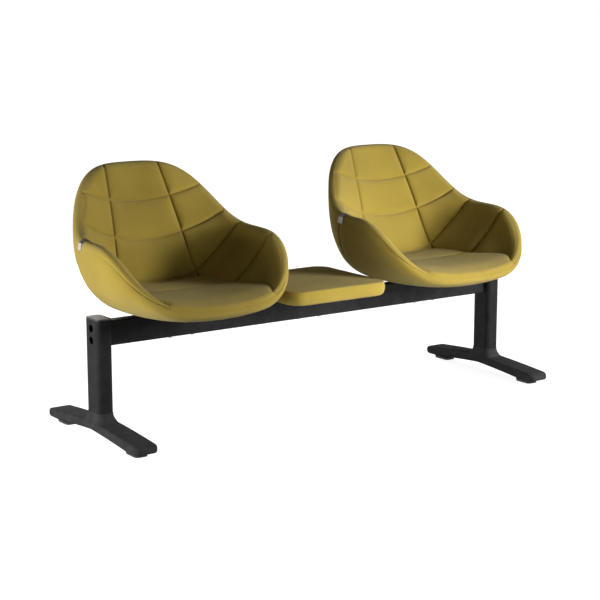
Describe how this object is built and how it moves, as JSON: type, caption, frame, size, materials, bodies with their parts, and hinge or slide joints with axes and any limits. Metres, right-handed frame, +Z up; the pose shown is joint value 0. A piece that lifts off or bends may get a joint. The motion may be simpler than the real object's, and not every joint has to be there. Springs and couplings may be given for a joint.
{
  "type": "waiting room beam seating",
  "caption": "Beam seating unit for a waiting room: padded velvet tub seats either side of a square padded table, on a black beam with columns and arched levelling feet.",
  "frame": {"origin": "on the floor, under the middle of the unit's outer box", "axes": "+X along the beam, the seats face -Y, +Z up"},
  "size_m": [1.673, 0.66, 0.83],
  "materials": {
    "velvet": "short velvet pile, mustard",
    "black_steel": "satin powder coat",
    "black_casting": "satin powder coat on a casting",
    "black_plastic": "fine texture",
    "glide_rubber": "matt",
    "plywood": "raw plywood",
    "black_bracket": "satin powder coat",
    "zinc_steel": "zinc plated"
  },
  "bodies": {
    "frame": {"beam_tube": "black_steel", "left_base_board": "plywood", "left_beam_bolts": "zinc_steel", "left_end_plate": "black_steel", "left_foot": "black_casting", "left_foot_bolts": "zinc_steel", "left_lining": "velvet", "left_pedestal": "black_steel", "left_pedestal_cap": "black_plastic", "left_saddle": "black_bracket", "left_seat_bolts": "zinc_steel", "left_seat_cushion": "velvet", "left_seat_plate": "black_bracket", "left_shell": "velvet", "left_tee_nuts": "zinc_steel", "left_through_bolts": "zinc_steel", "left_through_nuts": "zinc_steel", "right_base_board": "plywood", "right_beam_bolts": "zinc_steel", "right_end_plate": "black_steel", "right_foot": "black_casting", "right_foot_bolts": "zinc_steel", "right_lining": "velvet", "right_pedestal": "black_steel", "right_pedestal_cap": "black_plastic", "right_saddle": "black_bracket", "right_seat_bolts": "zinc_steel", "right_seat_cushion": "velvet", "right_seat_plate": "black_bracket", "right_shell": "velvet", "right_tee_nuts": "zinc_steel", "right_through_bolts": "zinc_steel", "right_through_nuts": "zinc_steel", "table_board": "plywood", "table_pad": "velvet", "table_plate": "black_bracket", "table_saddle": "black_bracket", "table_screws": "zinc_steel", "table_through_bolts": "zinc_steel", "table_through_nuts": "zinc_steel"},
    "left_front_glide": {"left_front_glide_pad": "glide_rubber"},
    "left_front_stud": {"left_front_glide_stud": "zinc_steel"},
    "left_rear_glide": {"left_rear_glide_pad": "glide_rubber"},
    "left_rear_stud": {"left_rear_glide_stud": "zinc_steel"},
    "right_front_glide": {"right_front_glide_pad": "glide_rubber"},
    "right_front_stud": {"right_front_glide_stud": "zinc_steel"},
    "right_rear_glide": {"right_rear_glide_pad": "glide_rubber"},
    "right_rear_stud": {"right_rear_glide_stud": "zinc_steel"}
  },
  "joints": [
    {"name": "left_front_glide_lift", "type": "slide", "parent": "frame", "child": "left_front_glide", "axis": [0, 0, -1], "range_m": [0, 0.008]},
    {"name": "left_front_stud_turn", "type": "hinge", "parent": "left_front_glide", "child": "left_front_stud", "pos_m": [-0.806, -0.256, 0.02], "axis": [0, 0, -1], "range_deg": [0, 2304]},
    {"name": "left_rear_glide_lift", "type": "slide", "parent": "frame", "child": "left_rear_glide", "axis": [0, 0, -1], "range_m": [0, 0.008]},
    {"name": "left_rear_stud_turn", "type": "hinge", "parent": "left_rear_glide", "child": "left_rear_stud", "pos_m": [-0.806, 0.2, 0.02], "axis": [0, 0, -1], "range_deg": [0, 2304]},
    {"name": "right_front_glide_lift", "type": "slide", "parent": "frame", "child": "right_front_glide", "axis": [0, 0, -1], "range_m": [0, 0.008]},
    {"name": "right_front_stud_turn", "type": "hinge", "parent": "right_front_glide", "child": "right_front_stud", "pos_m": [0.806, -0.256, 0.02], "axis": [0, 0, -1], "range_deg": [0, 2304]},
    {"name": "right_rear_glide_lift", "type": "slide", "parent": "frame", "child": "right_rear_glide", "axis": [0, 0, -1], "range_m": [0, 0.008]},
    {"name": "right_rear_stud_turn", "type": "hinge", "parent": "right_rear_glide", "child": "right_rear_stud", "pos_m": [0.806, 0.2, 0.02], "axis": [0, 0, -1], "range_deg": [0, 2304]}
  ],
  "couplings": [
    {"joint": "left_front_stud_turn", "follows": "left_front_glide_lift", "rad_per_m": 5026.5},
    {"joint": "left_rear_stud_turn", "follows": "left_rear_glide_lift", "rad_per_m": 5026.5},
    {"joint": "right_front_stud_turn", "follows": "right_front_glide_lift", "rad_per_m": 5026.5},
    {"joint": "right_rear_stud_turn", "follows": "right_rear_glide_lift", "rad_per_m": 5026.5}
  ]
}
